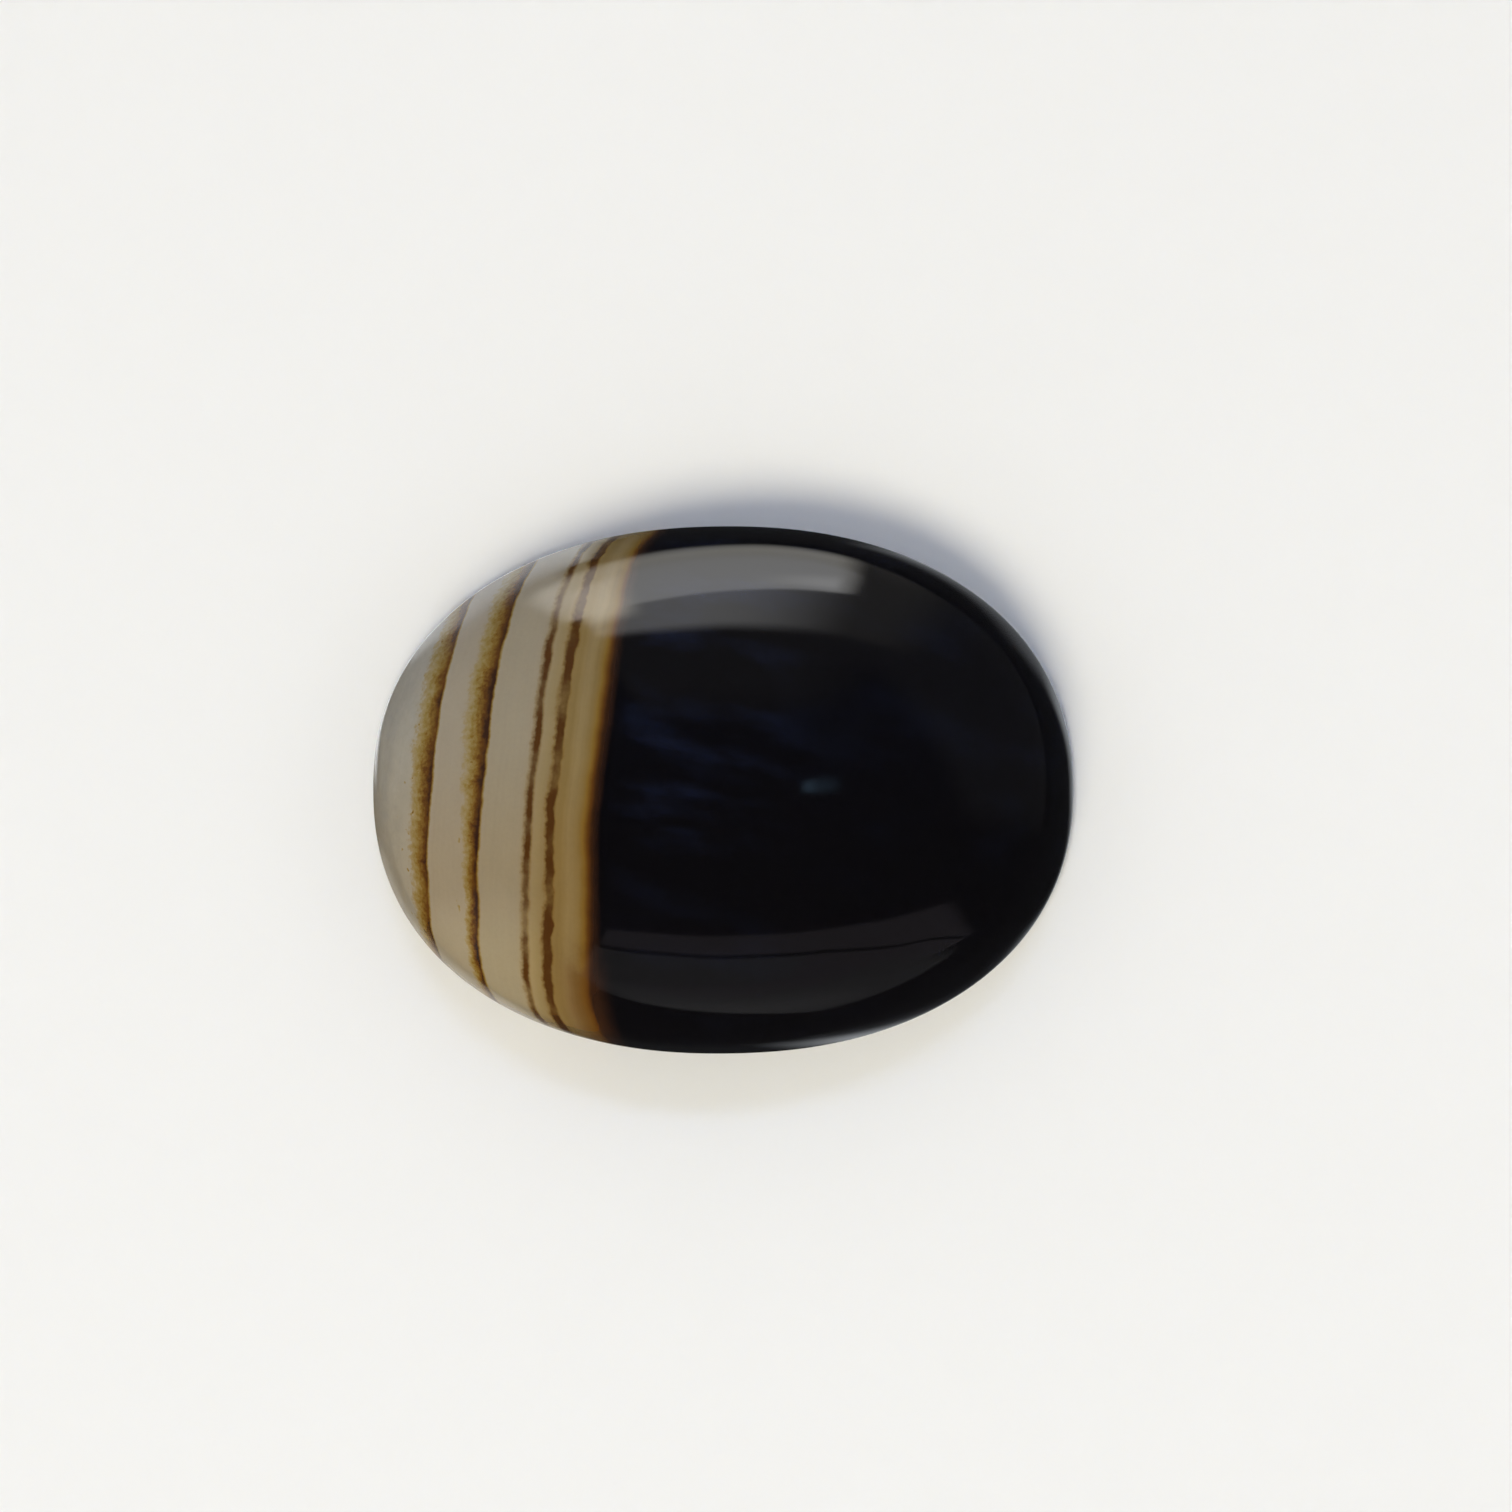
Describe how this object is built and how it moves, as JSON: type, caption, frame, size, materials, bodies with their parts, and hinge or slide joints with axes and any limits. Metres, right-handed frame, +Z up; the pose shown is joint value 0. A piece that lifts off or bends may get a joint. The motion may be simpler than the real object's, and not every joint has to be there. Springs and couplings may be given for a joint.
{
  "type": "black agate cabochon",
  "caption": "Polished oval cabochon of black banded agate, with a low dome, a flared wall and a flat base; pale grey-beige bands with brown lines at one end.",
  "frame": {"origin": "middle of the flat base, which is the surface that the stone rests on", "axes": "+X along the long axis towards the black end, +Y across the stone, +Z up through the dome"},
  "size_m": [0.025, 0.0188, 0.0065],
  "materials": {
    "agate": "high polish on dome and wall, satin on the flat base; opaque black, with translucent grey-beige and brown bands at the -X end"
  },
  "bodies": {
    "root": {"cabochon": "agate"}
  },
  "joints": []
}
